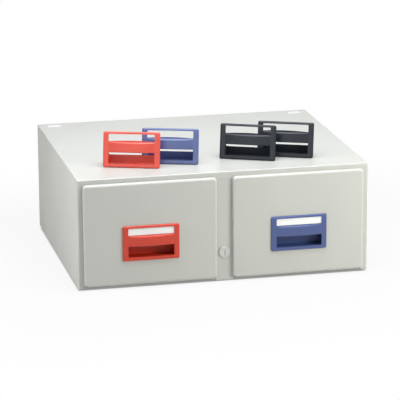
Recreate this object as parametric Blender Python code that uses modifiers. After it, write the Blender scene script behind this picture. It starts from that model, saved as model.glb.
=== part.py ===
"""Two-drawer steel card index cabinet with a set of six interchangeable colour-coded handles.

Metres, +Z up, the drawers open towards -Y. The origin is on the floor below the middle of the
whole cabinet. Inside the cabinet empty, y = 0 is the face of the front frame.
"""

import math

import bmesh
import bpy
from mathutils import Vector

MM = 0.001

# Fits and sheet metal
GAP = 0.3 * MM
SHEET = 1.0 * MM
BEND_RADIUS = 2.0 * MM
TRAY_BEND_RADIUS = 2.0 * MM
RUNNER_SHEET = 1.2 * MM
FOLD_ANGLE = math.radians(20)

# Case
CASE_WIDTH = 516 * MM
CASE_DEPTH = 424 * MM
CASE_HEIGHT = 195 * MM
FOOT_HEIGHT = 3 * MM
TOP_RAIL = 14 * MM
BASE_LIP = 7.7 * MM
BACK_FLANGE = 12 * MM
LOCATOR_SIZE = (25 * MM, 14 * MM, 0.8 * MM)
LOCATOR_INSET = (16 * MM, 14 * MM)
LOCATOR_ROUND = 0.6 * MM

# Pillar between the drawers, and the start of what lies behind it
PILLAR_DEPTH = 16 * MM
PILLAR_TOP_DROP = 3 * MM
INNER_START = 27 * MM

# Feet
FOOT_RADIUS = 8 * MM
FOOT_TREAD_RADIUS = 6.8 * MM
FOOT_STEM_RADIUS = 3 * MM
FOOT_BULB_RADIUS = 4.5 * MM
FOOT_TIP_RADIUS = 2.2 * MM
FOOT_BULB_HEIGHT = 4 * MM
FOOT_INSET = (30 * MM, 40 * MM)
FOOT_STEPS = 16

# Drawer fronts
FRONT_SIDE_MARGIN = 9 * MM
FRONT_TOP_MARGIN = 8.8 * MM
FRONT_BOTTOM_MARGIN = 4.6 * MM
FRONT_SPACING = 28 * MM
FRONT_OVERLAP = 3 * MM
FRONT_GAP = 1 * MM
FRONT_DEPTH = 6 * MM
FRONT_EDGE_RADIUS = 4 * MM
FRONT_CORNER_RADIUS = 6.5 * MM

# Drawer trays for cards 203 mm wide and 127 mm high
TRAY_HEIGHT = 116 * MM
TRAY_LIP_ROOM = 2 * MM
TRAY_BACK_ROOM = 10.7 * MM
TRAY_RIM = 5 * MM
DRAWER_TRAVEL = 300 * MM

# Roller runners
RUNNER_DEPTH = 17.7 * MM
RUNNER_CLEARANCE = 0.25 * MM
RUNNER_HEIGHT = 25 * MM
RUNNER_BACK_ROOM = 5.7 * MM
RAIL_FLANGE = 7.5 * MM
RAIL_FOOT_RISE = 1 * MM
RAIL_START = 3 * MM
RAIL_BACK_ROOM = 3.3 * MM
RAIL_HEADROOM = 0.8 * MM
ROLLER_RADIUS = 9 * MM
ROLLER_WIDTH = 5 * MM
ROLLER_INSET = 12 * MM
ROLLER_STEPS = 20
PIN_RADIUS = 2 * MM
PIN_CLEARANCE = 0.4 * MM
PIN_HEAD_RADIUS = 3.6 * MM
PIN_HEAD = 0.7 * MM
STOP_HEIGHT = 6 * MM

# Card follower
TRACK_FOOT = (14 * MM, 1.0 * MM)
TRACK_STEM = (4 * MM, 2.7 * MM)
TRACK_HEAD = (12 * MM, 1.2 * MM)
TRACK_INSET = 25 * MM
SHOE_WIDTH = 22 * MM
SHOE_LENGTH = 28 * MM
SHOE_TOP = 5 * MM
FOLLOWER_BACK_ROOM = 43.3 * MM
FOLLOWER_SIDE_ROOM = 8 * MM
FOLLOWER_HEIGHT = 116 * MM
FOLLOWER_FLOOR_GAP = 8 * MM
FOLLOWER_CORNER = 14 * MM
FOLLOWER_GRIP = (44 * MM, 14 * MM)
FOLLOWER_GRIP_DROP = 12 * MM

# Lock
LOCK_RISE = 51 * MM
BEZEL_RADIUS = 10 * MM
BEZEL_DEPTH = 2.2 * MM
BEZEL_ROUND = 1.0 * MM
BARREL_RADIUS = 8 * MM
BARREL_LENGTH = 17 * MM
PLUG_RADIUS = 6 * MM
PLUG_LENGTH = 19.2 * MM
KEYWAY = (1.8 * MM, 8 * MM, 9 * MM)
NUT_RADIUS = 12 * MM
NUT_DEPTH = 3.5 * MM
CAM_LATCH = 4 * MM
CAM_WIDTH = 12 * MM
CAM_THICKNESS = 2 * MM
CAM_SCREW_RADIUS = 2 * MM
CAM_SCREW_LENGTH = 6 * MM
CAM_SCREW_HEAD = (4 * MM, 3.2 * MM, 2.4 * MM)
LOCK_STEPS = 32
STRIKE_HEIGHT = 14 * MM
STRIKE_SIDE_ROOM = 2 * MM
STRIKE_LEG = 12 * MM
STRIKE_SHEET = 1.2 * MM
STRIKE_CLEARANCE = 0.5 * MM

# Moulded handle, about the middle of its flange; its back face lies on the drawer front
HANDLE_WIDTH = 100 * MM
HANDLE_HEIGHT = 62.4 * MM
HANDLE_FLANGE = 3 * MM
HANDLE_CORNER = 3.2 * MM
HANDLE_EDGE = 2.4 * MM
HANDLE_STILE = 9.5 * MM
HANDLE_TOP_RAIL = 4.2 * MM
HANDLE_BOTTOM_RAIL = 6.4 * MM
HANDLE_DROP = 16.3 * MM
WINDOW_HEIGHT = 13 * MM
WINDOW_CORNER = 1.2 * MM
BAR_HEIGHT = 19.3 * MM
BAR_BULGE = 3 * MM
BAR_ROUND = 5.5 * MM
BAR_LIP_ROUND = 1.5 * MM
BAR_WALL = 2.4 * MM
BAR_SECTIONS = 12
MOULD_STEP = 0.25 * MM
SKIRT_WALL = 1.8 * MM
SKIRT_DEPTH = 6 * MM
SKIRT_LIP = 1.5 * MM
TROUGH_DEPTH = 23 * MM
TROUGH_ROUND = 3 * MM
TROUGH_BACK_DROP = 5.1 * MM
TROUGH_SLOPE = 0.3 * MM
LUG_SIZE = (1.3 * MM, 14 * MM, 2.8 * MM)
LABEL_SHEET = 0.4 * MM
LABEL_SETBACK = 1.2 * MM
LABEL_GROOVE = 1.7 * MM
LABEL_BACK_RISE = 1.8 * MM
LABEL_BACK_STEPS = 12
HOLE_CLEARANCE = 0.4 * MM

# Spare handles on the top: how far the middle of the foot edge lies in from the nearer side and the front
SPARE_RED_INSET = (106.2 * MM, 60.4 * MM)
SPARE_BLUE_INSET = (176.8 * MM, 69.9 * MM)
SPARE_BLACK_FRONT_INSET = (201.4 * MM, 67.0 * MM)
SPARE_BLACK_REAR_INSET = (132.2 * MM, 69.8 * MM)
SPARE_TURN = {"red": -19.7, "blue": -19.3, "black_front": -25.1, "black_rear": -24.0}

# Heights and faces that follow from the driving sizes
BOTTOM = FOOT_HEIGHT
TOP = BOTTOM + CASE_HEIGHT
HALF_WIDTH = CASE_WIDTH / 2
FRAME_FLANGE = FRONT_SIDE_MARGIN + FRONT_OVERLAP
PILLAR_HALF = FRONT_SPACING / 2 + FRONT_OVERLAP
OPENING_TOP = TOP - TOP_RAIL
INNER_HALF = HALF_WIDTH - SHEET - GAP
BASE_UNDER = BOTTOM + SHEET + GAP
BASE_FLOOR = BASE_UNDER + SHEET
LIP_TOP = BASE_UNDER + BASE_LIP
BACK_FRONT = CASE_DEPTH - BACK_FLANGE
PARTITION_BACK = BACK_FRONT - GAP - BEND_RADIUS
INNER_TOP = TOP - SHEET - GAP

FRONT_WIDTH = (CASE_WIDTH - FRONT_SPACING) / 2 - FRONT_SIDE_MARGIN
FRONT_BOTTOM = BOTTOM + FRONT_BOTTOM_MARGIN
FRONT_TOP = TOP - FRONT_TOP_MARGIN
FRONT_FACE = -FRONT_GAP - FRONT_DEPTH
DRAWER_X = (FRONT_SPACING + FRONT_WIDTH) / 2
LINER_FACE = -FRONT_GAP - SHEET
RUNNER_WALL = INNER_HALF - DRAWER_X
RUNNER_MOUTH = RUNNER_WALL - RUNNER_DEPTH
PARTITION_HALF = DRAWER_X - RUNNER_WALL - GAP
RAIL_OUTER = RUNNER_MOUTH - RUNNER_CLEARANCE
RAIL_FACE = RAIL_OUTER - RUNNER_SHEET
TRAY_HALF = RAIL_FACE - GAP
TRAY_FRONT = -FRONT_GAP + GAP
TRAY_BACK = BACK_FRONT - TRAY_BACK_ROOM
TRAY_FLOOR = LIP_TOP + TRAY_LIP_ROOM
TRAY_TOP = TRAY_FLOOR + TRAY_HEIGHT
FOLLOWER_REST = TRAY_BACK - FOLLOWER_BACK_ROOM
FOLLOWER_HALF = TRAY_HALF - FOLLOWER_SIDE_ROOM

HANDLE_Z = (FRONT_BOTTOM + FRONT_TOP) / 2 - HANDLE_DROP
HANDLE_SEAT = FRONT_FACE - GAP
HALF_HANDLE = HANDLE_HEIGHT / 2
WINDOW_HALF = HANDLE_WIDTH / 2 - HANDLE_STILE
WINDOW_TOP = HALF_HANDLE - HANDLE_TOP_RAIL
WINDOW_BOTTOM = WINDOW_TOP - WINDOW_HEIGHT
BAR_BOTTOM = WINDOW_BOTTOM - BAR_HEIGHT
SLOT_BOTTOM = -HALF_HANDLE + HANDLE_BOTTOM_RAIL
SKIRT_INNER = WINDOW_HALF + SKIRT_LIP
SKIRT_OUTER = SKIRT_INNER + SKIRT_WALL
SKIRT_CEILING = WINDOW_TOP + SKIRT_LIP / 2
SKIRT_TOP = SKIRT_CEILING + SKIRT_WALL
TROUGH_FLOOR = SLOT_BOTTOM - MOULD_STEP
TROUGH_UNDER = TROUGH_FLOOR - SKIRT_WALL
TROUGH_LOWEST = TROUGH_UNDER - TROUGH_SLOPE
TROUGH_BACK_TOP = BAR_BOTTOM - TROUGH_BACK_DROP
LABEL_FACE = -HANDLE_FLANGE + LABEL_SETBACK
GROOVE_BACK = LABEL_FACE + LABEL_SHEET + GAP
HOLE_HALF = SKIRT_OUTER + HOLE_CLEARANCE
HOLE_TOP = SKIRT_TOP + HOLE_CLEARANCE
HOLE_BOTTOM = TROUGH_LOWEST - HOLE_CLEARANCE

RUNNER_START = INNER_START + GAP
RUNNER_END = BACK_FRONT - RUNNER_BACK_ROOM
RUNNER_TOP = LIP_TOP + RUNNER_HEIGHT
RUNNER_FLOOR = LIP_TOP + RUNNER_SHEET
RUNNER_CEILING = RUNNER_TOP - RUNNER_SHEET
RAIL_END = TRAY_BACK - RAIL_BACK_ROOM
RAIL_FOOT = TRAY_FLOOR + RAIL_FOOT_RISE
RAIL_TOP = RUNNER_CEILING - RAIL_HEADROOM
RAIL_TREAD = RAIL_TOP - RUNNER_SHEET
ROLLER_INNER = RAIL_OUTER + GAP + PIN_HEAD + GAP
ROLLER_MIDDLE = ROLLER_INNER + ROLLER_WIDTH / 2
FRONT_ROLLER_Y = INNER_START + ROLLER_INSET
FRONT_ROLLER_Z = RAIL_TREAD - GAP - ROLLER_RADIUS
REAR_ROLLER_Y = RAIL_END - ROLLER_INSET
REAR_ROLLER_Z = RUNNER_FLOOR + GAP + ROLLER_RADIUS
STOP_Y = REAR_ROLLER_Y - DRAWER_TRAVEL - ROLLER_RADIUS - GAP

LOCK_HEIGHT = BOTTOM + LOCK_RISE
CAM_FRONT = PLUG_LENGTH + GAP
CAM_BACK = CAM_FRONT + CAM_THICKNESS
CAM_REACH = PILLAR_HALF + STRIKE_SIDE_ROOM + CAM_LATCH
STRIKE_FRONT = CAM_BACK + STRIKE_CLEARANCE
STRIKE_TIP = DRAWER_X - PILLAR_HALF - STRIKE_SIDE_ROOM
MODEL_FRONT = HANDLE_SEAT - HANDLE_FLANGE - BAR_BULGE
MODEL_MIDDLE = (CASE_DEPTH + MODEL_FRONT) / 2

for old in list(bpy.data.objects):
    bpy.data.objects.remove(old, do_unlink=True)

PARTS = bpy.data.collections.new("card_index_cabinet")
CUTTERS = bpy.data.collections.new("cutters")
bpy.context.scene.collection.children.link(PARTS)
bpy.context.scene.collection.children.link(CUTTERS)


def finish(name, colour, roughness, metallic=0.0):
    """A Principled material."""
    material = bpy.data.materials.new(name)
    material.use_nodes = True
    shader = material.node_tree.nodes["Principled BSDF"]
    shader.inputs["Base Color"].default_value = (*colour, 1.0)
    shader.inputs["Roughness"].default_value = roughness
    shader.inputs["Metallic"].default_value = metallic
    return material


GREY_PAINT = finish("grey_enamel", (0.62, 0.61, 0.58), 0.4)
STEEL = finish("zinc_plated_steel", (0.56, 0.56, 0.55), 0.35, 1.0)
LOCK_METAL = finish("nickel_plated_lock", (0.66, 0.65, 0.62), 0.25, 1.0)
NYLON = finish("white_nylon", (0.72, 0.71, 0.66), 0.45)
RUBBER = finish("black_rubber", (0.03, 0.03, 0.03), 0.8)
CARD = finish("label_card", (0.86, 0.85, 0.82), 0.9)
HANDLE_COLOURS = {
    "red": finish("red_abs", (0.46, 0.06, 0.04), 0.35),
    "blue": finish("blue_abs", (0.07, 0.09, 0.30), 0.35),
    "black": finish("black_abs", (0.02, 0.022, 0.022), 0.35),
}


def empty(name, parent=None, location=(0, 0, 0)):
    """A named frame that pieces hang on."""
    frame = bpy.data.objects.new(name, None)
    PARTS.objects.link(frame)
    frame.parent = parent
    frame.location = location
    return frame


def piece(name, bm, material, parent, location=(0, 0, 0), smooth=False):
    """Makes a mesh object of bm under parent."""
    mesh = bpy.data.meshes.new(name)
    bm.to_mesh(mesh)
    bm.free()
    return place(name, mesh, material, parent, location, smooth)


def place(name, mesh, material, parent, location=(0, 0, 0), smooth=False):
    """Puts a mesh in the model as a named part with its own material slot."""
    if not mesh.materials:
        mesh.materials.append(material)
    obj = bpy.data.objects.new(name, mesh)
    PARTS.objects.link(obj)
    obj.parent = parent
    obj.location = location
    obj.material_slots[0].link = "OBJECT"
    obj.material_slots[0].material = material
    if smooth:
        mesh.shade_smooth()
        mesh.set_sharp_from_angle(angle=math.radians(40))
    return obj


def boolean(target, bm, operation="DIFFERENCE"):
    """Cuts bm out of target, or joins it on, as a Boolean with its own hidden operand."""
    label = f"{target.name}_{operation.lower()}_{len(target.modifiers)}"
    mesh = bpy.data.meshes.new(label)
    bm.to_mesh(mesh)
    bm.free()
    operand = bpy.data.objects.new(label, mesh)
    CUTTERS.objects.link(operand)
    operand.parent = target.parent
    operand.location = target.location
    operand.hide_render = True
    operand.display_type = "WIRE"
    modifier = target.modifiers.new(label, "BOOLEAN")
    modifier.operation = operation
    modifier.solver = "EXACT"
    modifier.object = operand


def box(low, high):
    """A closed box between two corners."""
    bm = bmesh.new()
    bmesh.ops.create_cube(bm, size=1.0)
    low, high = Vector(low), Vector(high)
    bmesh.ops.scale(bm, vec=high - low, verts=bm.verts)
    bmesh.ops.translate(bm, vec=(low + high) / 2, verts=bm.verts)
    return bm


def prism(outline, start, end, axis):
    """A closed outline pulled from start to end along X (y, z points), Y (x, z) or Z (x, y)."""
    bm = bmesh.new()
    along = "XYZ".index(axis)

    def corner(point):
        return (*point[:along], start, *point[along:])

    pull = Vector((0, 0, 0))
    pull[along] = end - start
    face = bm.faces.new([bm.verts.new(corner(point)) for point in outline])
    made = bmesh.ops.extrude_face_region(bm, geom=[face])["geom"]
    bmesh.ops.translate(bm, vec=pull, verts=[g for g in made if isinstance(g, bmesh.types.BMVert)])
    bmesh.ops.recalc_face_normals(bm, faces=bm.faces)
    return bm


def arc(centre, radius, start, end, steps):
    """Points of a circular arc from one angle to another, in degrees."""
    angles = [math.radians(start + (end - start) * i / steps) for i in range(steps + 1)]
    return [(centre[0] + radius * math.cos(a), centre[1] + radius * math.sin(a)) for a in angles]


def rounded_rectangle(low, high, radius, steps=4):
    """The outline of a rectangle with round corners, anticlockwise from its lower right corner."""
    corners = (
        (high[0] - radius, low[1] + radius, -90),
        (high[0] - radius, high[1] - radius, 0),
        (low[0] + radius, high[1] - radius, 90),
        (low[0] + radius, low[1] + radius, 180),
    )
    return [p for u, v, a in corners for p in arc((u, v), radius, a, a + 90, steps)]


def open_box(low, high, open_sides):
    """The surface of a box without its open sides, named by axis and sign such as +z."""
    bm = box(low, high)
    bm.faces.ensure_lookup_table()
    for face in list(bm.faces):
        axis = max(range(3), key=lambda i: abs(face.normal[i]))
        side = ("+" if face.normal[axis] > 0 else "-") + "xyz"[axis]
        if side in open_sides:
            bmesh.ops.delete(bm, geom=[face], context="FACES_ONLY")
    loose = [e for e in bm.edges if not e.link_faces]
    bmesh.ops.delete(bm, geom=loose, context="EDGES")
    return bm


def flange(bm, chosen, shift):
    """Extends the open edges whose pair of ends passes chosen, each new point moved by shift(old place)."""
    edges = [e for e in bm.edges if e.is_boundary and chosen([v.co for v in e.verts])]
    made = bmesh.ops.extrude_edge_only(bm, edges=edges)["geom"]
    for vert in (g for g in made if isinstance(g, bmesh.types.BMVert)):
        vert.co += Vector(shift(vert.co))


def fold(bm, radius, segments=3):
    """Turns a sheet surface's faces outwards and rounds every fold."""
    bmesh.ops.remove_doubles(bm, verts=bm.verts, dist=GAP / 10)
    bmesh.ops.recalc_face_normals(bm, faces=bm.faces)
    middle = sum((v.co for v in bm.verts), Vector()) / len(bm.verts)
    if sum(f.calc_area() * f.normal.dot(f.calc_center_median() - middle) for f in bm.faces) < 0:
        bmesh.ops.reverse_faces(bm, faces=bm.faces)
    folds = [e for e in bm.edges if e.is_manifold and e.calc_face_angle() > FOLD_ANGLE]
    bmesh.ops.bevel(
        bm, geom=folds, offset=radius, segments=segments, profile=0.5, affect="EDGES", clamp_overlap=False
    )


def thicken(obj, thickness=SHEET):
    """Gives a folded surface its sheet thickness, inwards."""
    modifier = obj.modifiers.new("sheet", "SOLIDIFY")
    modifier.thickness = thickness
    modifier.offset = -1
    modifier.use_even_offset = True


def near(a, b):
    """Whether two coordinates are the same."""
    return abs(a - b) < GAP / 10


def sign(value):
    """The side of the middle that a coordinate lies on."""
    return math.copysign(1.0, value)


def turned(name, profile, steps, material, parent, location=(0, 0, 0)):
    """A profile of (radius, depth) points, in order down its outer side, turned about the depth axis +Y."""
    mesh = bpy.data.meshes.new(name)
    closed = profile[0][0] > 0
    edges = [(i, i + 1) for i in range(len(profile) - 1)] + ([(len(profile) - 1, 0)] if closed else [])
    mesh.from_pydata([(r, 0, -d) for r, d in profile], edges, [])
    obj = place(name, mesh, material, parent, location)
    obj.rotation_euler = (math.radians(90), 0, 0)
    screw = obj.modifiers.new("turn", "SCREW")
    screw.steps = screw.render_steps = steps
    screw.use_merge_vertices = True
    screw.merge_threshold = GAP / 10
    screw.use_smooth_shade = True
    return obj


def wheel(radius, bore, width, steps):
    """A ring about the X axis, with its middle at the origin."""
    outer = [(radius * math.cos(a), radius * math.sin(a)) for a in circle_angles(steps)]
    inner = [(bore * math.cos(a), bore * math.sin(a)) for a in circle_angles(steps)]
    bm = bmesh.new()
    loops = [
        [bm.verts.new((x, y, z)) for y, z in ring]
        for x, ring in ((-width / 2, outer), (width / 2, outer), (width / 2, inner), (-width / 2, inner))
    ]
    for first, second in zip(loops, loops[1:] + loops[:1]):
        for i in range(steps):
            j = (i + 1) % steps
            bm.faces.new((first[i], first[j], second[j], second[i]))
    bmesh.ops.recalc_face_normals(bm, faces=bm.faces)
    return bm


def circle_angles(steps):
    """Even angles round a circle."""
    return [2 * math.pi * i / steps for i in range(steps)]


def rod(radius, start, end, y, z, steps=ROLLER_STEPS):
    """A solid round rod along X."""
    outline = [(y + radius * math.cos(a), z + radius * math.sin(a)) for a in circle_angles(steps)]
    return prism(outline, start, end, "X")


def make_wrapper(cabinet):
    """Top and sides in one folded sheet, with the front frame's edges and the stacking locators."""
    bm = open_box((-HALF_WIDTH, 0, BOTTOM), (HALF_WIDTH, CASE_DEPTH, TOP), {"-y", "+y", "-z"})
    flange(
        bm,
        lambda ends: all(near(co.y, 0) for co in ends),
        lambda co: (-sign(co.x) * FRAME_FLANGE, 0, -TOP_RAIL if near(co.z, TOP) else 0),
    )
    flange(
        bm,
        lambda ends: all(near(co.z, BOTTOM) and near(abs(co.x), HALF_WIDTH) for co in ends),
        lambda co: (-sign(co.x) * FRAME_FLANGE, 0, 0),
    )
    fold(bm, BEND_RADIUS)
    wrapper = piece("case_wrapper", bm, GREY_PAINT, cabinet)
    thicken(wrapper)
    width, depth, rise = LOCATOR_SIZE
    for side in (-1, 1):
        middle = side * (HALF_WIDTH - LOCATOR_INSET[0] - width / 2)
        rear = CASE_DEPTH - LOCATOR_INSET[1]
        low = (middle - width / 2, rear - depth, TOP - SHEET / 2)
        pad = box(low, (middle + width / 2, rear, TOP + rise))
        upper = [e for e in pad.edges if all(v.co.z > TOP for v in e.verts)]
        bmesh.ops.bevel(pad, geom=upper, offset=LOCATOR_ROUND, segments=2, profile=0.5, affect="EDGES")
        boolean(wrapper, pad, "UNION")


def make_base(cabinet):
    """Floor pan whose front lip is the frame's bottom rail, with the holes for the feet."""
    bm = open_box((-INNER_HALF, SHEET + GAP, BASE_UNDER), (INNER_HALF, BACK_FRONT - GAP, LIP_TOP), {"+z"})
    fold(bm, BEND_RADIUS, 2)
    base = piece("base_pan", bm, GREY_PAINT, cabinet)
    thicken(base)
    hole = FOOT_STEM_RADIUS + GAP
    for x, y in foot_places():
        outline = [(x + hole * math.cos(a), y + hole * math.sin(a)) for a in circle_angles(FOOT_STEPS)]
        boolean(base, prism(outline, BASE_UNDER - SHEET, BASE_FLOOR + SHEET, "Z"))


def foot_places():
    """The middle of each foot, front left first."""
    x = HALF_WIDTH - FOOT_INSET[0]
    return [(side * x, y) for y in (FOOT_INSET[1], CASE_DEPTH - FOOT_INSET[1]) for side in (-1, 1)]


def make_feet(cabinet):
    """Four push-in rubber feet: a pad under the pan, a stem through it and a bulb above."""
    pad = BASE_UNDER - GAP
    bulb = BASE_FLOOR + GAP
    stem = FOOT_STEM_RADIUS - GAP
    profile = [
        (0, bulb + FOOT_BULB_HEIGHT),
        (FOOT_TIP_RADIUS, bulb + FOOT_BULB_HEIGHT),
        (FOOT_BULB_RADIUS, bulb),
        (stem, bulb),
        (stem, pad),
        (FOOT_RADIUS, pad),
        (FOOT_TREAD_RADIUS, 0),
        (0, 0),
    ]
    names = ("foot_front_left", "foot_front_right", "foot_rear_left", "foot_rear_right")
    for name, (x, y) in zip(names, foot_places()):
        foot = turned(name, [(r, -z) for r, z in profile], FOOT_STEPS, RUBBER, cabinet, (x, y, 0))
        foot.rotation_euler = (0, 0, 0)


def make_back(cabinet):
    """Back panel: a shallow pan set inside the wrapper."""
    bm = open_box((-INNER_HALF, BACK_FRONT, BASE_UNDER), (INNER_HALF, CASE_DEPTH, INNER_TOP), {"-y"})
    fold(bm, BEND_RADIUS, 2)
    thicken(piece("back_panel", bm, GREY_PAINT, cabinet))


def make_pillar(cabinet):
    """Upright channel between the drawers, notched over the bottom rail and behind the top rail."""
    low = (-PILLAR_HALF, 0, BOTTOM)
    bm = open_box(low, (PILLAR_HALF, PILLAR_DEPTH, TOP - PILLAR_TOP_DROP), {"+y", "-z", "+z"})
    fold(bm, TRAY_BEND_RADIUS, 2)
    pillar = piece("front_pillar", bm, GREY_PAINT, cabinet)
    thicken(pillar)
    beyond = CASE_WIDTH
    notch = SHEET + GAP / 2
    boolean(pillar, box((-beyond, notch, -beyond), (beyond, beyond, LIP_TOP + GAP)))
    boolean(pillar, box((-beyond, -beyond, OPENING_TOP - GAP), (beyond, SHEET + GAP, beyond)))
    hole = BARREL_RADIUS + GAP
    outline = [(hole * math.cos(a), LOCK_HEIGHT + hole * math.sin(a)) for a in circle_angles(LOCK_STEPS)]
    boolean(pillar, prism(outline, -SHEET, 2 * SHEET, "Y"))


def make_partition(cabinet):
    """Hollow wall between the two drawers."""
    low = (-PARTITION_HALF, INNER_START, BASE_FLOOR + GAP)
    bm = open_box(low, (PARTITION_HALF, PARTITION_BACK, INNER_TOP), {"-y", "+y", "-z"})
    fold(bm, TRAY_BEND_RADIUS, 2)
    thicken(piece("centre_partition", bm, GREY_PAINT, cabinet))


def make_lock(lock):
    """Cam lock: a fixed body held by its nut, and a plug that turns a cam with two wings."""
    bore = PLUG_RADIUS + GAP
    face = -GAP - BEZEL_DEPTH
    rounding = [
        (BEZEL_RADIUS - BEZEL_ROUND + u, face + BEZEL_ROUND - v)
        for u, v in arc((0, 0), BEZEL_ROUND, 90, 0, 3)
    ]
    barrel = [(BARREL_RADIUS, -GAP), (BARREL_RADIUS, BARREL_LENGTH), (bore, BARREL_LENGTH)]
    body = [(bore, face), *rounding, (BEZEL_RADIUS, -GAP), *barrel]
    turned("lock_body", body, LOCK_STEPS, LOCK_METAL, lock)
    thread = BARREL_RADIUS + GAP
    nut_start = SHEET + GAP
    hexagon = [(NUT_RADIUS * math.cos(a), NUT_RADIUS * math.sin(a)) for a in circle_angles(6)]
    nut = piece("lock_nut", prism(hexagon, nut_start, nut_start + NUT_DEPTH, "Y"), STEEL, lock)
    outline = [(thread * math.cos(a), thread * math.sin(a)) for a in circle_angles(LOCK_STEPS)]
    boolean(nut, prism(outline, 0, nut_start + 2 * NUT_DEPTH, "Y"))

    screw_bore = CAM_SCREW_RADIUS + GAP
    plug_profile = [
        (0, face),
        (PLUG_RADIUS, face),
        (PLUG_RADIUS, PLUG_LENGTH),
        (screw_bore, PLUG_LENGTH),
        (screw_bore, PLUG_LENGTH - CAM_SCREW_LENGTH),
        (0, PLUG_LENGTH - CAM_SCREW_LENGTH),
    ]
    plug = turned("lock_plug", plug_profile, LOCK_STEPS, LOCK_METAL, lock)
    wide, high, deep = KEYWAY
    boolean(plug, box((-wide / 2, face - deep, -high / 2), (wide / 2, face + deep, high / 2)))

    half = CAM_WIDTH / 2
    straight = CAM_REACH - half
    outline = arc((0, straight), half, 0, 180, 8) + arc((0, -straight), half, 180, 360, 8)
    cam = piece("lock_cam", prism(outline, CAM_FRONT, CAM_BACK, "Y"), STEEL, lock)
    outline = [(screw_bore * math.cos(a), screw_bore * math.sin(a)) for a in circle_angles(FOOT_STEPS)]
    boolean(cam, prism(outline, CAM_FRONT - SHEET, CAM_BACK + SHEET, "Y"))

    head_radius, head_tip, head = CAM_SCREW_HEAD
    head_start = CAM_BACK + GAP
    screw_profile = [
        (0, PLUG_LENGTH - CAM_SCREW_LENGTH + GAP),
        (CAM_SCREW_RADIUS, PLUG_LENGTH - CAM_SCREW_LENGTH + GAP),
        (CAM_SCREW_RADIUS, head_start),
        (head_radius, head_start),
        (head_tip, head_start + head),
        (0, head_start + head),
    ]
    turned("cam_screw", screw_profile, FOOT_STEPS, STEEL, lock)


def make_runner(side, cabinet, drawer_x, outwards):
    """Fixed channel of one runner with its roller pin and stop; outwards is the sign of its wall's side."""
    web = RUNNER_WALL - RUNNER_SHEET
    outline = [
        (RUNNER_MOUTH, LIP_TOP),
        (RUNNER_WALL, LIP_TOP),
        (RUNNER_WALL, RUNNER_TOP),
        (RUNNER_MOUTH, RUNNER_TOP),
        (RUNNER_MOUTH, RUNNER_CEILING),
        (web, RUNNER_CEILING),
        (web, RUNNER_FLOOR),
        (RUNNER_MOUTH, RUNNER_FLOOR),
    ]
    channel = prism([(outwards * u, v) for u, v in outline], RUNNER_START, RUNNER_END, "Y")
    runner = piece(f"{side}_runner", channel, STEEL, cabinet, (drawer_x, 0, 0))
    embed = RUNNER_WALL - RUNNER_SHEET / 2
    pin_end = ROLLER_INNER - GAP - PIN_HEAD
    pin = rod(PIN_RADIUS, outwards * pin_end, outwards * embed, FRONT_ROLLER_Y, FRONT_ROLLER_Z)
    boolean(runner, pin, "UNION")
    shoulder = ROLLER_INNER + ROLLER_WIDTH + GAP
    for first, last in ((pin_end, ROLLER_INNER - GAP), (shoulder, embed)):
        collar = rod(PIN_HEAD_RADIUS, outwards * first, outwards * last, FRONT_ROLLER_Y, FRONT_ROLLER_Z)
        boolean(runner, collar, "UNION")
    inner, outer = sorted((outwards * ROLLER_INNER, outwards * (ROLLER_INNER + ROLLER_WIDTH)))
    low = (inner, STOP_Y - RUNNER_SHEET, LIP_TOP + RUNNER_SHEET / 2)
    boolean(runner, box(low, (outer, STOP_Y, RUNNER_FLOOR + STOP_HEIGHT)), "UNION")


def make_rail(side, drawer, outwards):
    """Drawer member of one runner: an inverted angle on the tray's side with the rear roller's pin."""
    outline = [
        (RAIL_FACE, RAIL_FOOT),
        (RAIL_OUTER, RAIL_FOOT),
        (RAIL_OUTER, RAIL_TREAD),
        (RAIL_FACE + RAIL_FLANGE, RAIL_TREAD),
        (RAIL_FACE + RAIL_FLANGE, RAIL_TOP),
        (RAIL_FACE, RAIL_TOP),
    ]
    angle = prism([(outwards * u, v) for u, v in outline], RAIL_START, RAIL_END, "Y")
    rail = piece(f"{side}_rail", angle, STEEL, drawer)
    embed = RAIL_FACE + RUNNER_SHEET / 2
    head_start = ROLLER_INNER + ROLLER_WIDTH + GAP
    for radius, first, last in (
        (PIN_RADIUS, embed, head_start + PIN_HEAD),
        (PIN_HEAD_RADIUS, embed, ROLLER_INNER - GAP),
        (PIN_HEAD_RADIUS, head_start, head_start + PIN_HEAD),
    ):
        pin = rod(radius, outwards * first, outwards * last, REAR_ROLLER_Y, REAR_ROLLER_Z)
        boolean(rail, pin, "UNION")


def make_rollers(side, cabinet, drawer, drawer_x, outwards):
    """The front roller on the cabinet's runner and the rear roller on the drawer's rail."""
    x = outwards * ROLLER_MIDDLE
    places = (
        (f"{side}_front_roller", cabinet, (drawer_x + x, FRONT_ROLLER_Y, FRONT_ROLLER_Z)),
        (f"{side}_rear_roller", drawer, (x, REAR_ROLLER_Y, REAR_ROLLER_Z)),
    )
    for name, parent, location in places:
        bm = wheel(ROLLER_RADIUS, PIN_RADIUS + PIN_CLEARANCE, ROLLER_WIDTH, ROLLER_STEPS)
        piece(name, bm, NYLON, parent, location, smooth=True)


def handle_hole(start, end):
    """The opening that a handle's skirt and trough pass through, in the drawer's frame."""
    return box((-HOLE_HALF, start, HANDLE_Z + HOLE_BOTTOM), (HOLE_HALF, end, HANDLE_Z + HOLE_TOP))


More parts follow.
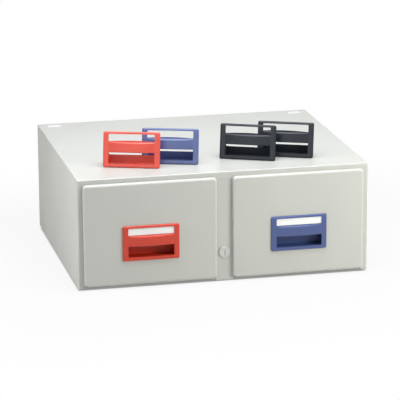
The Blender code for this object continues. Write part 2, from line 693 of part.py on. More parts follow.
def make_front(side, drawer):
    """Pressed front pan with rounded edges, and the liner plate that closes its back."""
    half = FRONT_WIDTH / 2
    bm = open_box((-half, FRONT_FACE, FRONT_BOTTOM), (half, -FRONT_GAP, FRONT_TOP), {"+y"})
    corners = [e for e in bm.edges if near(abs(e.verts[0].co.y - e.verts[1].co.y), FRONT_DEPTH)]
    bmesh.ops.bevel(bm, geom=corners, offset=FRONT_CORNER_RADIUS, segments=4, profile=0.5, affect="EDGES")
    rim = [e for e in bm.edges if e.is_manifold and all(near(v.co.y, FRONT_FACE) for v in e.verts)]
    bmesh.ops.bevel(bm, geom=rim, offset=FRONT_EDGE_RADIUS, segments=3, profile=0.5, affect="EDGES")
    pan = piece(f"{side}_drawer_front", bm, GREY_PAINT, drawer)
    thicken(pan)
    boolean(pan, handle_hole(FRONT_FACE - SHEET, FRONT_FACE + 2 * SHEET))

    edge = SHEET + GAP
    outline = rounded_rectangle(
        (-half + edge, FRONT_BOTTOM + edge), (half - edge, FRONT_TOP - edge), FRONT_CORNER_RADIUS - edge
    )
    plate = prism(outline, LINER_FACE, LINER_FACE + SHEET, "Y")
    liner = piece(f"{side}_front_liner", plate, GREY_PAINT, drawer)
    boolean(liner, handle_hole(LINER_FACE - SHEET, LINER_FACE + 2 * SHEET))


def make_tray(side, drawer):
    """Folded card tray with an outward rim along its sides and back."""
    bm = open_box((-TRAY_HALF, TRAY_FRONT, TRAY_FLOOR), (TRAY_HALF, TRAY_BACK, TRAY_TOP), {"+z"})
    flange(
        bm,
        lambda ends: not all(near(co.y, TRAY_FRONT) for co in ends),
        lambda co: (sign(co.x) * TRAY_RIM, 0 if near(co.y, TRAY_FRONT) else TRAY_RIM, 0),
    )
    fold(bm, TRAY_BEND_RADIUS, 2)
    tray = piece(f"{side}_tray", bm, GREY_PAINT, drawer)
    thicken(tray)
    boolean(tray, handle_hole(TRAY_FRONT - SHEET, TRAY_FRONT + 2 * SHEET))


def make_strike(side, drawer, inwards):
    """Angle on the tray's inner side that the lock's wing stands in front of."""
    foot = TRAY_HALF + GAP
    outline = [
        (foot, STRIKE_FRONT),
        (STRIKE_TIP, STRIKE_FRONT),
        (STRIKE_TIP, STRIKE_FRONT + STRIKE_SHEET),
        (foot + STRIKE_SHEET, STRIKE_FRONT + STRIKE_SHEET),
        (foot + STRIKE_SHEET, STRIKE_FRONT + STRIKE_LEG),
        (foot, STRIKE_FRONT + STRIKE_LEG),
    ]
    outline = [(inwards * u, v) for u, v in outline]
    bm = prism(outline, LOCK_HEIGHT - STRIKE_HEIGHT / 2, LOCK_HEIGHT + STRIKE_HEIGHT / 2, "Z")
    piece(f"{side}_lock_strike", bm, STEEL, drawer)


def make_follower(side, drawer, follower):
    """Track on the tray floor, and the card follower: a shoe on the track with an upright plate."""
    foot_half, foot = TRACK_FOOT[0] / 2, TRACK_FOOT[1]
    stem_half, stem = TRACK_STEM[0] / 2, TRACK_STEM[1]
    head_half, head = TRACK_HEAD[0] / 2, TRACK_HEAD[1]
    floor = TRAY_FLOOR + SHEET + GAP
    half_outline = [
        (foot_half, floor),
        (foot_half, floor + foot),
        (stem_half, floor + foot),
        (stem_half, floor + foot + stem),
        (head_half, floor + foot + stem),
        (head_half, floor + foot + stem + head),
    ]
    outline = half_outline + [(-u, v) for u, v in reversed(half_outline)]
    bm = prism(outline, TRACK_INSET, TRAY_BACK - TRACK_INSET / 2, "Y")
    piece(f"{side}_follower_track", bm, STEEL, drawer)

    shoe_half = SHOE_WIDTH / 2
    head_under = floor + foot + stem - GAP
    head_over = floor + foot + stem + head + GAP
    shoe_foot = floor + foot + GAP
    shoe_top = head_over + SHOE_TOP
    half_outline = [
        (head_half + GAP, head_over),
        (head_half + GAP, head_under),
        (stem_half + GAP, head_under),
        (stem_half + GAP, shoe_foot),
        (shoe_half, shoe_foot),
        (shoe_half, shoe_top),
    ]
    outline = half_outline + [(-u, v) for u, v in reversed(half_outline)]
    piece(f"{side}_follower_shoe", prism(outline, 0, SHOE_LENGTH, "Y"), NYLON, follower)

    half = FOLLOWER_HALF
    low = TRAY_FLOOR + SHEET + FOLLOWER_FLOOR_GAP
    high = low + FOLLOWER_HEIGHT
    outline = [(-half, low), (half, low)]
    outline += arc((half - FOLLOWER_CORNER, high - FOLLOWER_CORNER), FOLLOWER_CORNER, 0, 90, 4)
    outline += arc((-half + FOLLOWER_CORNER, high - FOLLOWER_CORNER), FOLLOWER_CORNER, 90, 180, 4)
    upright = prism(outline, -SHEET - GAP, -GAP, "Y")
    plate = piece(f"{side}_follower_plate", upright, GREY_PAINT, follower)
    grip_half, grip = FOLLOWER_GRIP[0] / 2, FOLLOWER_GRIP[1]
    grip_top = high - FOLLOWER_GRIP_DROP
    outline = rounded_rectangle((-grip_half, grip_top - grip), (grip_half, grip_top), grip / 2 - GAP)
    boolean(plate, prism(outline, -3 * SHEET, SHEET, "Y"))
    foot_box = box(
        (-shoe_half, -SHEET / 2 - GAP, shoe_top + GAP), (shoe_half, SHOE_LENGTH, shoe_top + GAP + SHEET)
    )
    boolean(plate, foot_box, "UNION")


def bar_section(bulge):
    """The handle bar's hooked cross-section as (y, z) points, at one place along it."""
    front = -HANDLE_FLANGE - bulge
    top = WINDOW_BOTTOM
    back = -MOULD_STEP
    rounding = min(BAR_ROUND, back - front - MOULD_STEP)
    outer = arc((front + rounding, top - rounding), rounding, 90, 180, 5)
    lip = arc((front + BAR_LIP_ROUND, BAR_BOTTOM + BAR_LIP_ROUND), BAR_LIP_ROUND, 180, 270, 2)
    inner = front + BAR_WALL
    hook = [(inner, BAR_BOTTOM), (inner, top - 2 * BAR_WALL), (back, top - BAR_WALL)]
    return [(back, top), *outer, *lip, *hook]


def bar_loft():
    """The finger bar: hooked sections that swell towards the middle, lofted between the two stiles."""
    bm = bmesh.new()
    end = WINDOW_HALF + SKIRT_LIP
    rings = []
    for i in range(BAR_SECTIONS + 1):
        share = 2 * i / BAR_SECTIONS - 1
        swell = 1 - share * share
        section = bar_section(BAR_BULGE * swell - MOULD_STEP * (1 - swell))
        rings.append([bm.verts.new((end * share, y, z)) for y, z in section])
    for first, second in zip(rings, rings[1:]):
        for i in range(len(first)):
            j = (i + 1) % len(first)
            bm.faces.new((first[i], first[j], second[j], second[i]))
    bm.faces.new(rings[0])
    bm.faces.new(rings[-1])
    bmesh.ops.triangulate(bm, faces=bm.faces)
    bmesh.ops.recalc_face_normals(bm, faces=bm.faces)
    return bm


def trough_solids():
    """The finger trough's outer block and the space inside it."""
    front = -HANDLE_FLANGE / 3
    back = TROUGH_DEPTH
    radius = TROUGH_ROUND
    block = [(front, TROUGH_UNDER)]
    block += arc((back - radius, TROUGH_LOWEST + radius), radius, 270, 360, 4)
    shoulder = BAR_BOTTOM + BAR_WALL
    block += [(back, TROUGH_BACK_TOP), (SKIRT_DEPTH / 2, shoulder), (front, shoulder)]
    inner_back = back - SKIRT_WALL
    inner_radius = radius - SKIRT_WALL / 2
    hollow = [(-2 * HANDLE_FLANGE, TROUGH_FLOOR)]
    hollow += arc(
        (inner_back - inner_radius, TROUGH_LOWEST + SKIRT_WALL + inner_radius), inner_radius, 270, 360, 3
    )
    hollow += [(inner_back, HALF_HANDLE), (-2 * HANDLE_FLANGE, HALF_HANDLE)]
    half = SKIRT_OUTER - MOULD_STEP
    inner = half - SKIRT_WALL
    return prism(block, -half, half, "X"), prism(hollow, -inner, inner, "X")


def skirt():
    """The rim behind the flange that locates the handle in the drawer front: a top and two sides."""
    foot = (SLOT_BOTTOM + BAR_BOTTOM) / 2
    outline = [
        (-SKIRT_OUTER, foot),
        (-SKIRT_INNER, foot),
        (-SKIRT_INNER, SKIRT_CEILING),
        (SKIRT_INNER, SKIRT_CEILING),
        (SKIRT_INNER, foot),
        (SKIRT_OUTER, foot),
        (SKIRT_OUTER, SKIRT_TOP),
        (-SKIRT_OUTER, SKIRT_TOP),
    ]
    return prism(outline, -HANDLE_FLANGE / 4, SKIRT_DEPTH, "Y")


def handle_mesh():
    """One moulded handle: flange, label window and groove, finger bar, trough, skirt and snap lugs."""
    half = HANDLE_WIDTH / 2
    outline = rounded_rectangle((-half, -HALF_HANDLE), (half, HALF_HANDLE), HANDLE_CORNER)
    flange_plate = prism(outline, -HANDLE_FLANGE, 0, "Y")
    rim = [e for e in flange_plate.edges if all(near(v.co.y, -HANDLE_FLANGE) for v in e.verts)]
    bmesh.ops.bevel(flange_plate, geom=rim, offset=HANDLE_EDGE, segments=3, profile=0.5, affect="EDGES")
    block, hollow = trough_solids()
    trough = piece("handle_trough", block, NYLON, None)
    boolean(trough, hollow)
    trough_mesh = evaluated_mesh(trough)

    handle = piece("handle_body", flange_plate, NYLON, None)
    low, high = (-WINDOW_HALF, SLOT_BOTTOM), (WINDOW_HALF, WINDOW_TOP)
    opening = rounded_rectangle(low, high, WINDOW_CORNER, 2)
    boolean(handle, prism(opening, -2 * HANDLE_FLANGE, HANDLE_FLANGE, "Y"))
    for solid in (bar_loft(), skirt(), from_mesh(trough_mesh), label_back(), *snap_lugs()):
        boolean(handle, solid, "UNION")
    boolean(handle, label_groove())
    return evaluated_mesh(handle)


def label_back():
    """The arched plate that rises from the bar's back edge behind the label."""
    end = SKIRT_INNER + SKIRT_WALL / 2
    low = WINDOW_BOTTOM - BAR_WALL / 2
    outline = [(-end, low), (end, low)]
    for i in range(LABEL_BACK_STEPS + 1):
        share = 1 - 2 * i / LABEL_BACK_STEPS
        outline.append((end * share, WINDOW_BOTTOM + LABEL_BACK_RISE * (1 - share * share)))
    return prism(outline, GROOVE_BACK + MOULD_STEP, 2 * MOULD_STEP, "Y")


def label_groove():
    """The groove round the window that the label springs into."""
    half = WINDOW_HALF + LABEL_GROOVE
    low = (-half, LABEL_FACE - GAP, WINDOW_BOTTOM + GAP)
    return box(low, (half, GROOVE_BACK, WINDOW_TOP + LABEL_GROOVE))


def snap_lugs():
    """Two wedges on the skirt's sides that snap in behind the drawer front."""
    proud, height, deep = LUG_SIZE
    start = SHEET + 2 * GAP
    lugs = []
    for side in (-1, 1):
        root = side * (SKIRT_OUTER - SKIRT_WALL / 2)
        tip = side * (SKIRT_OUTER + proud)
        outline = [(root, start), (tip, start), (root, start + deep)]
        lugs.append(prism(outline, -height / 2, height / 2, "Z"))
    return lugs


def from_mesh(mesh):
    """A bmesh of a finished mesh."""
    bm = bmesh.new()
    bm.from_mesh(mesh)
    return bm


def evaluated_mesh(obj):
    """The mesh of obj with its modifiers applied; obj and its operands are removed."""
    bpy.context.view_layer.update()
    mesh = bpy.data.meshes.new_from_object(obj.evaluated_get(bpy.context.evaluated_depsgraph_get()))
    for modifier in obj.modifiers:
        bpy.data.objects.remove(modifier.object, do_unlink=True)
    bpy.data.objects.remove(obj, do_unlink=True)
    mesh.materials.clear()
    return mesh


def make_label(side, drawer):
    """Blank card in the groove of the handle's window."""
    half = WINDOW_HALF + LABEL_GROOVE - GAP
    low = (-half, WINDOW_BOTTOM + 2 * GAP)
    outline = rounded_rectangle(low, (half, WINDOW_TOP + LABEL_GROOVE - GAP), WINDOW_CORNER, 2)
    bm = prism(outline, LABEL_FACE, LABEL_FACE + LABEL_SHEET, "Y")
    piece(f"{side}_label_card", bm, CARD, drawer, (0, HANDLE_SEAT, HANDLE_Z))


def spare_tilt():
    """How far a handle leans back when it stands on its flange's foot and its trough."""
    drop = HALF_HANDLE + TROUGH_LOWEST + TROUGH_ROUND
    reach = TROUGH_DEPTH - TROUGH_ROUND
    return math.acos(TROUGH_ROUND / math.hypot(drop, reach)) - math.atan2(reach, drop)


def make_spares(cabinet, mesh):
    """The four handles that are not fitted, leaning back on the top of the case."""
    tilt = spare_tilt()
    lift = TOP + GAP + HALF_HANDLE * math.cos(tilt)
    behind = HANDLE_FLANGE * math.cos(tilt) + HALF_HANDLE * math.sin(tilt)
    insets = {
        "red": (-1, SPARE_RED_INSET),
        "blue": (-1, SPARE_BLUE_INSET),
        "black_front": (1, SPARE_BLACK_FRONT_INSET),
        "black_rear": (1, SPARE_BLACK_REAR_INSET),
    }
    for name, (side, (inset, y)) in insets.items():
        turn = math.radians(SPARE_TURN[name])
        x = side * (HALF_WIDTH - inset)
        location = (x - behind * math.sin(turn), y + behind * math.cos(turn), lift)
        colour = HANDLE_COLOURS[name.split("_")[0]]
        spare = place(f"spare_handle_{name}", mesh, colour, cabinet, location)
        spare.rotation_euler = (-tilt, 0, turn)


def make_drawer(side, x, colour, cabinet, mesh):
    """One drawer with its handle, label, follower and runners."""
    drawer = empty(f"{side}_drawer_frame", cabinet, (x, 0, 0))
    follower = empty(f"{side}_follower_frame", drawer, (0, FOLLOWER_REST, 0))
    inwards = -sign(x)
    make_front(side, drawer)
    make_tray(side, drawer)
    make_strike(side, drawer, inwards)
    make_follower(side, drawer, follower)
    place(f"{side}_handle", mesh, HANDLE_COLOURS[colour], drawer, (0, HANDLE_SEAT, HANDLE_Z))
    make_label(side, drawer)
    for place_name, outwards in (("inner", inwards), ("outer", -inwards)):
        label = f"{side}_{place_name}"
        make_runner(label, cabinet, x, outwards)
        make_rail(label, drawer, outwards)
        make_rollers(label, cabinet, drawer, x, outwards)


def main():
    """Builds the cabinet, its lock, both drawers and the spare handles."""
    cabinet = empty("cabinet_frame", None, (0, -MODEL_MIDDLE, 0))
    lock = empty("lock_frame", cabinet, (0, 0, LOCK_HEIGHT))
    make_wrapper(cabinet)
    make_base(cabinet)
    make_feet(cabinet)
    make_back(cabinet)
    make_pillar(cabinet)
    make_partition(cabinet)
    make_lock(lock)
    mesh = handle_mesh()
    make_drawer("left", -DRAWER_X, "red", cabinet, mesh)
    make_drawer("right", DRAWER_X, "blue", cabinet, mesh)
    make_spares(cabinet, mesh)


main()
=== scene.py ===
"""Looks of a desktop steel card index cabinet with two drawers and six clip-in handles.

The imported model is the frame. Pieces with bends or round faces get a smooth skin made from a merged copy of
their node, flat pieces keep their node, and the rivets and lock details that are too small for the solids are
modelled here.
"""

import logging
import math
from dataclasses import dataclass
from enum import Enum
from typing import Callable

import bmesh
import bpy
from mathutils import Matrix, Vector


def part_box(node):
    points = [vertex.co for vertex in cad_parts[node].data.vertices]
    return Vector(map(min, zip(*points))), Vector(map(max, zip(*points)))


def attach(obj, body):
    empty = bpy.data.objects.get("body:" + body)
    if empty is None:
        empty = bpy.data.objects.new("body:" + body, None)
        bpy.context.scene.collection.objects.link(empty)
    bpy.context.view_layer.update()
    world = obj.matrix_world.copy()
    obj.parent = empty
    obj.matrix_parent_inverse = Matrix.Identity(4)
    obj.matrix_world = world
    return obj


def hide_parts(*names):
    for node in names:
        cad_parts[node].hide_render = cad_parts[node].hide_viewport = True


LOG = logging.getLogger("card_index_cabinet")
MM = 0.001
FOLD_WEAR = "fold_wear"
# Marks the stacking locators' tops, which get a painted highlight.
PAINTED_LOCATOR_HIGHLIGHT = "painted_locator_highlight"
# A wave texture turns through 20 radians in one unit of its scale.
WAVE_RADIANS = 20
WHITE = (1.0, 1.0, 1.0, 1.0)
MERGE_DISTANCE = 0.01 * MM
# Edges that turn by less than this shade smoothly.
SKIN_SMOOTH = math.radians(46)
FASTENER_SMOOTH = math.radians(40)
# How much of a face's normal lies along an axis that the face looks along, roughly or squarely.
LOOKS_ALONG = 0.9
LOOKS_SQUARELY = 0.99
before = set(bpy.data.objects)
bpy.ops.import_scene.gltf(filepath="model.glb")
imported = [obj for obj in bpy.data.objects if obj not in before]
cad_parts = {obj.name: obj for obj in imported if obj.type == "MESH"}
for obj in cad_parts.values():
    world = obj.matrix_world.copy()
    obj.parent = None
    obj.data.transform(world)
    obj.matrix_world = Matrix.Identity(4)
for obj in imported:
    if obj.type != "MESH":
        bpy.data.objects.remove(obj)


class Side(Enum):
    """The two drawers, as the user faces them."""

    LEFT = "left"
    RIGHT = "right"


class Wall(Enum):
    """The two side walls of a drawer's bay, each with its runner and rail."""

    INNER = "inner"
    OUTER = "outer"


class End(Enum):
    """The two ends of the case, and of a runner."""

    FRONT = "front"
    REAR = "rear"


class Pigment(Enum):
    """The handles' moulding colours, as sRGB hex."""

    RED = "#C6361C"
    BLUE = "#3E4F82"
    BLACK = "#151C23"


def srgb(code: str) -> tuple[float, float, float, float]:
    """Turns an sRGB hex colour to linear.

    Args:
        code: The colour as "#RRGGBB".

    Returns:
        The linear colour with full alpha.
    """
    parts = [int(code[i : i + 2], 16) / 255 for i in (1, 3, 5)]
    red, green, blue = (p / 12.92 if p <= 0.04045 else ((p + 0.055) / 1.055) ** 2.4 for p in parts)
    return red, green, blue, 1.0


def per_metre(size_mm: float) -> float:
    """The texture scale that gives features of this size in millimetres."""
    return 1000.0 / size_mm


def add_node(
    tree: bpy.types.NodeTree, kind: str, inputs: dict[str | int, object] | None = None, **settings: object
) -> bpy.types.Node:
    """Adds a node with its settings, values and links.

    Args:
        tree: The node tree that takes it.
        kind: The node's type name.
        inputs: A value, or the output to link, for each input by name or number.
        settings: The node's own properties.

    Returns:
        The new node.
    """
    node = tree.nodes.new(kind)
    for key, value in settings.items():
        setattr(node, key, value)
    for key, value in (inputs or {}).items():
        if isinstance(value, bpy.types.NodeSocket):
            tree.links.new(value, node.inputs[key])
        else:
            node.inputs[key].default_value = value
    return node


@dataclass(frozen=True)
class Finish:
    """A surface as it was made, for one of the record's material slots."""

    name: str
    slot: str

    def material(self) -> bpy.types.Material:
        """Gives the finish's material, making it the first time.

        Returns:
            The material.
        """
        made = bpy.data.materials.get(self.name)
        if made is None:
            made = bpy.data.materials.new(self.name)
            made.use_nodes = True
            made.node_tree.nodes.clear()
            shader = self.surface(made.node_tree)
            add_node(made.node_tree, "ShaderNodeOutputMaterial", {"Surface": shader.outputs["BSDF"]})
        return made

    def surface(self, tree: bpy.types.NodeTree) -> bpy.types.Node:
        """Builds the shader; each finish has its own."""
        raise NotImplementedError


@dataclass(frozen=True)
class StoveEnamel(Finish):
    """Stoving enamel, sprayed on folded sheet steel and baked.

    It gives the eye a warm pale grey satin skin with a faint orange peel, a little cloudy over a hand's
    width, paler at the folds, where wet enamel draws thin, and a painted highlight, nearly white, on the
    stacking locators' tops.
    """

    thin: str = "#C4C5BE"
    thick: str = "#BEBFB8"
    fold: str = "#C8C9C3"
    # Painted highlight: the near-white colour of the stacking locators' tops.
    locator_highlight: str = "#E2E2E0"
    cloud_mm: float = 110.0
    # Real peel is about 1.5 mm; drawn at 4 mm so that it shows.
    peel_mm: float = 4.0
    peel_relief_mm: float = 0.03
    peel_strength: float = 0.25
    satin: tuple[float, float] = (0.34, 0.46)
    ior: float = 1.5

    def surface(self, tree: bpy.types.NodeTree) -> bpy.types.Node:
        """Builds the enamel's shader.

        Args:
            tree: The material's node tree.

        Returns:
            The shader node.
        """
        place = add_node(tree, "ShaderNodeTexCoord").outputs["Object"]
        cloud = add_node(
            tree, "ShaderNodeTexNoise", {"Vector": place, "Scale": per_metre(self.cloud_mm), "Detail": 2.0}
        ).outputs[0]
        coat = add_node(
            tree, "ShaderNodeMix", {0: cloud, 6: srgb(self.thin), 7: srgb(self.thick)}, data_type="RGBA"
        ).outputs[2]
        thinned = add_node(tree, "ShaderNodeAttribute", attribute_name=FOLD_WEAR).outputs["Fac"]
        drawn = add_node(
            tree, "ShaderNodeMix", {0: thinned, 6: coat, 7: srgb(self.fold)}, data_type="RGBA"
        ).outputs[2]
        # Painted highlight: the stacking locators' tops turn nearly white.
        locator_lit = add_node(tree, "ShaderNodeAttribute", attribute_name=PAINTED_LOCATOR_HIGHLIGHT).outputs["Fac"]
        colour = add_node(
            tree, "ShaderNodeMix", {0: locator_lit, 6: drawn, 7: srgb(self.locator_highlight)}, data_type="RGBA"
        ).outputs[2]
        peel = add_node(
            tree, "ShaderNodeTexNoise", {"Vector": place, "Scale": per_metre(self.peel_mm), "Detail": 1.0}
        ).outputs[0]
        dimples = add_node(
            tree,
            "ShaderNodeBump",
            {"Height": peel, "Strength": self.peel_strength, "Distance": self.peel_relief_mm * MM},
        ).outputs["Normal"]
        glossy, matt = self.satin
        satin = add_node(
            tree, "ShaderNodeMapRange", {"Value": cloud, "To Min": glossy, "To Max": matt}
        ).outputs[0]
        return add_node(
            tree,
            "ShaderNodeBsdfPrincipled",
            {"Base Color": colour, "Roughness": satin, "IOR": self.ior, "Normal": dimples},
        )


@dataclass(frozen=True)
class MouldedAbs(Finish):
    """ABS, injection moulded in a finely spark-eroded tool.

    It gives the eye a solid colour with a pale sheen, faint flow marks along the moulding, edges polished a
    little paler by hands, and a duller hollow, where hands and the tool's polish reach less.
    """

    pigment: Pigment
    flow_mm: tuple[float, float] = (60.0, 9.0)
    flow_shade: tuple[float, float] = (0.94, 1.05)
    worn_gain: float = 1.12
    sheen: tuple[float, float] = (0.30, 0.42)
    hollow_mm: float = 30.0
    # How much of the air round a spot is open where the hollow's dullness is full, and where it ends.
    hollow_edge: tuple[float, float] = (0.6, 0.95)
    hollow_roughness: float = 0.9
    gloss: float = 0.6
    # A spark-eroded grain is about 0.1 mm; drawn at 0.9 mm so that it shows.
    grain_mm: float = 0.9
    grain_relief_mm: float = 0.02
    grain_strength: float = 0.3
    ior: float = 1.54

    def surface(self, tree: bpy.types.NodeTree) -> bpy.types.Node:
        """Builds the plastic's shader.

        Args:
            tree: The material's node tree.

        Returns:
            The shader node.
        """
        place = add_node(tree, "ShaderNodeTexCoord").outputs["Object"]
        along, across = (per_metre(size) for size in self.flow_mm)
        drawn = add_node(
            tree, "ShaderNodeMapping", {"Vector": place, "Scale": (along, across, across)}
        ).outputs[0]
        flow = add_node(
            tree, "ShaderNodeTexNoise", {"Vector": drawn, "Scale": 1.0, "Detail": 3.0}
        ).outputs[0]
        deep, pale = self.flow_shade
        depth = add_node(
            tree, "ShaderNodeMapRange", {"Value": flow, "To Min": deep, "To Max": pale}
        ).outputs[0]
        wear = add_node(tree, "ShaderNodeAttribute", attribute_name=FOLD_WEAR).outputs["Fac"]
        polish = add_node(
            tree, "ShaderNodeMapRange", {"Value": wear, "To Min": 1.0, "To Max": self.worn_gain}
        ).outputs[0]
        shade = add_node(tree, "ShaderNodeMath", {0: depth, 1: polish}, operation="MULTIPLY").outputs[0]
        colour = add_node(
            tree, "ShaderNodeHueSaturation", {"Value": shade, "Color": srgb(self.pigment.value)}
        ).outputs[0]
        grain = add_node(
            tree, "ShaderNodeTexNoise", {"Vector": place, "Scale": per_metre(self.grain_mm), "Detail": 2.0}
        ).outputs[0]
        tooth = add_node(
            tree,
            "ShaderNodeBump",
            {"Height": grain, "Strength": self.grain_strength, "Distance": self.grain_relief_mm * MM},
        ).outputs["Normal"]
        glossy, matt = self.sheen
        sheen = add_node(
            tree, "ShaderNodeMapRange", {"Value": flow, "To Min": glossy, "To Max": matt}
        ).outputs[0]
        open_air = add_node(
            tree, "ShaderNodeAmbientOcclusion", {"Distance": self.hollow_mm * MM}, samples=8, only_local=True
        ).outputs["AO"]
        closed, clear = self.hollow_edge
        reached = add_node(
            tree, "ShaderNodeMapRange", {"Value": open_air, "From Min": closed, "From Max": clear}
        ).outputs[0]
        roughness = add_node(
            tree, "ShaderNodeMix", {0: reached, 2: self.hollow_roughness, 3: sheen}
        ).outputs[0]
        return add_node(
            tree,
            "ShaderNodeBsdfPrincipled",
            {
                "Base Color": colour,
                "Roughness": roughness,
                "IOR": self.ior,
                "Specular IOR Level": self.gloss,
                "Normal": tooth,
            },
        )


@dataclass(frozen=True)
class ZincPlate(Finish):
    """Mild steel strip, cold rolled and then bright zinc plated.

    It gives the eye a cool grey metal with fine rolling lines along the strip and a patchy bloom.
    """

    bright: str = "#C4C7C6"
    bloom: str = "#A9ADAE"
    bloom_mm: float = 14.0
    # Rolling lines are about 0.1 mm apart; drawn at 0.6 mm so that they show.
    line_mm: tuple[float, float] = (40.0, 0.6)
    line_relief_mm: float = 0.02
    line_strength: float = 0.2
    dulling: tuple[float, float] = (0.28, 0.45)

    def surface(self, tree: bpy.types.NodeTree) -> bpy.types.Node:
        """Builds the plated steel's shader.

        Args:
            tree: The material's node tree.

        Returns:
            The shader node.
        """
        place = add_node(tree, "ShaderNodeTexCoord").outputs["Object"]
        bloom = add_node(
            tree, "ShaderNodeTexNoise", {"Vector": place, "Scale": per_metre(self.bloom_mm), "Detail": 4.0}
        ).outputs[0]
        colour = add_node(
            tree, "ShaderNodeMix", {0: bloom, 6: srgb(self.bright), 7: srgb(self.bloom)}, data_type="RGBA"
        ).outputs[2]
        along, across = (per_metre(size) for size in self.line_mm)
        drawn = add_node(
            tree, "ShaderNodeMapping", {"Vector": place, "Scale": (across, along, across)}
        ).outputs[0]
        lines = add_node(
            tree, "ShaderNodeTexNoise", {"Vector": drawn, "Scale": 1.0, "Detail": 2.0}
        ).outputs[0]
        rolled = add_node(
            tree,
            "ShaderNodeBump",
            {"Height": lines, "Strength": self.line_strength, "Distance": self.line_relief_mm * MM},
        ).outputs["Normal"]
        glossy, matt = self.dulling
        dull = add_node(
            tree, "ShaderNodeMapRange", {"Value": bloom, "To Min": glossy, "To Max": matt}
        ).outputs[0]
        return add_node(
            tree,
            "ShaderNodeBsdfPrincipled",
            {"Base Color": colour, "Metallic": 1.0, "Roughness": dull, "Normal": rolled},
        )


@dataclass(frozen=True)
class NickelPlate(Finish):
    """Die-cast zinc, turned on its face and nickel plated.

    It gives the eye a warm bright metal with fine rings round the key and a trace of tarnish.
    """

    bright: str = "#DCDCD7"
    tarnish: str = "#C3C2BC"
    tarnish_mm: float = 5.0
    # Turning marks are about 0.05 mm apart; drawn at 0.5 mm so that they show.
    ring_mm: float = 0.5
    ring_waver: float = 0.3
    ring_relief_mm: float = 0.02
    ring_strength: float = 0.15
    dulling: tuple[float, float] = (0.24, 0.36)

    def surface(self, tree: bpy.types.NodeTree) -> bpy.types.Node:
        """Builds the plated casting's shader.

        Args:
            tree: The material's node tree.

        Returns:
            The shader node.
        """
        low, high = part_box("lock_plug")
        place = add_node(tree, "ShaderNodeTexCoord").outputs["Object"]
        centred = add_node(
            tree, "ShaderNodeMapping", {"Vector": place, "Location": -(low + high) / 2}
        ).outputs[0]
        ring_scale = per_metre(self.ring_mm) * math.tau / WAVE_RADIANS
        rings = add_node(
            tree,
            "ShaderNodeTexWave",
            {"Vector": centred, "Scale": ring_scale, "Distortion": self.ring_waver},
            wave_type="RINGS",
            rings_direction="Y",
        ).outputs["Fac"]
        turned = add_node(
            tree,
            "ShaderNodeBump",
            {"Height": rings, "Strength": self.ring_strength, "Distance": self.ring_relief_mm * MM},
        ).outputs["Normal"]
        film = add_node(
            tree, "ShaderNodeTexNoise", {"Vector": place, "Scale": per_metre(self.tarnish_mm), "Detail": 4.0}
        ).outputs[0]
        colour = add_node(
            tree, "ShaderNodeMix", {0: film, 6: srgb(self.bright), 7: srgb(self.tarnish)}, data_type="RGBA"
        ).outputs[2]
        glossy, matt = self.dulling
        dull = add_node(
            tree, "ShaderNodeMapRange", {"Value": film, "To Min": glossy, "To Max": matt}
        ).outputs[0]
        return add_node(
            tree,
            "ShaderNodeBsdfPrincipled",
            {"Base Color": colour, "Metallic": 1.0, "Roughness": dull, "Normal": turned},
        )


@dataclass(frozen=True)
class Grained(Finish):
    """A stuff whose look is one base colour with a fine grain: nylon, rubber or card."""

    pale: str
    dark: str
    grain_mm: float
    roughness: tuple[float, float]
    ior: float
    relief_mm: float
    glow: float = 0.0
    glow_mm: tuple[float, float, float] = (1.2, 1.0, 0.8)
    grain_strength: float = 0.4

    def surface(self, tree: bpy.types.NodeTree) -> bpy.types.Node:
        """Builds the grained shader.

        Args:
            tree: The material's node tree.

        Returns:
            The shader node.
        """
        place = add_node(tree, "ShaderNodeTexCoord").outputs["Object"]
        grain = add_node(
            tree, "ShaderNodeTexNoise", {"Vector": place, "Scale": per_metre(self.grain_mm), "Detail": 5.0}
        ).outputs[0]
        colour = add_node(
            tree, "ShaderNodeMix", {0: grain, 6: srgb(self.pale), 7: srgb(self.dark)}, data_type="RGBA"
        ).outputs[2]
        tooth = add_node(
            tree,
            "ShaderNodeBump",
            {"Height": grain, "Strength": self.grain_strength, "Distance": self.relief_mm * MM},
        ).outputs["Normal"]
        glossy, matt = self.roughness
        dull = add_node(
            tree, "ShaderNodeMapRange", {"Value": grain, "To Min": glossy, "To Max": matt}
        ).outputs[0]
        return add_node(
            tree,
            "ShaderNodeBsdfPrincipled",
            {
                "Base Color": colour,
                "Roughness": dull,
                "IOR": self.ior,
                "Subsurface Weight": self.glow,
                "Subsurface Radius": [reach * MM for reach in self.glow_mm],
                "Subsurface Scale": 1.0,
                "Normal": tooth,
            },
        )


ENAMEL = StoveEnamel("stove_enamel_on_folded_steel", "grey_enamel")
ZINC = ZincPlate("zinc_plated_rolled_steel", "zinc_steel")
NICKEL = NickelPlate("nickel_plated_turned_zinc", "nickel_lock")
# Natural nylon: creamy, dull where it rolls, and light sinks in a little.
NYLON = Grained(
    "moulded_natural_nylon",
    "white_nylon",
    pale="#E6E2D6",
    dark="#D9D4C6",
    grain_mm=3.0,
    roughness=(0.42, 0.55),
    ior=1.53,
    relief_mm=0.01,
    glow=0.1,
)
# Carbon-filled rubber: near black, dry, with a fine mould bloom.
RUBBER = Grained(
    "moulded_black_rubber",
    "black_rubber",
    pale="#2A2A29",
    dark="#1B1B1B",
    grain_mm=1.2,
    roughness=(0.7, 0.88),
    ior=1.52,
    relief_mm=0.03,
)
# Calendered index card: clean white with short fibres, drawn at 1 mm so that they show.
CARD = Grained(
    "calendered_index_card",
    "label_card",
    pale="#F9F9F7",
    dark="#F2F2EF",
    grain_mm=1.0,
    roughness=(0.75, 0.9),
    ior=1.5,
    relief_mm=0.01,
)
# The fitted handles are in use, so fingers polish their hollows too.
RED_ABS = MouldedAbs("moulded_red_abs", "red_abs", Pigment.RED, hollow_roughness=0.6)
BLUE_ABS = MouldedAbs("moulded_blue_abs", "blue_abs", Pigment.BLUE, hollow_roughness=0.5, gloss=0.7)
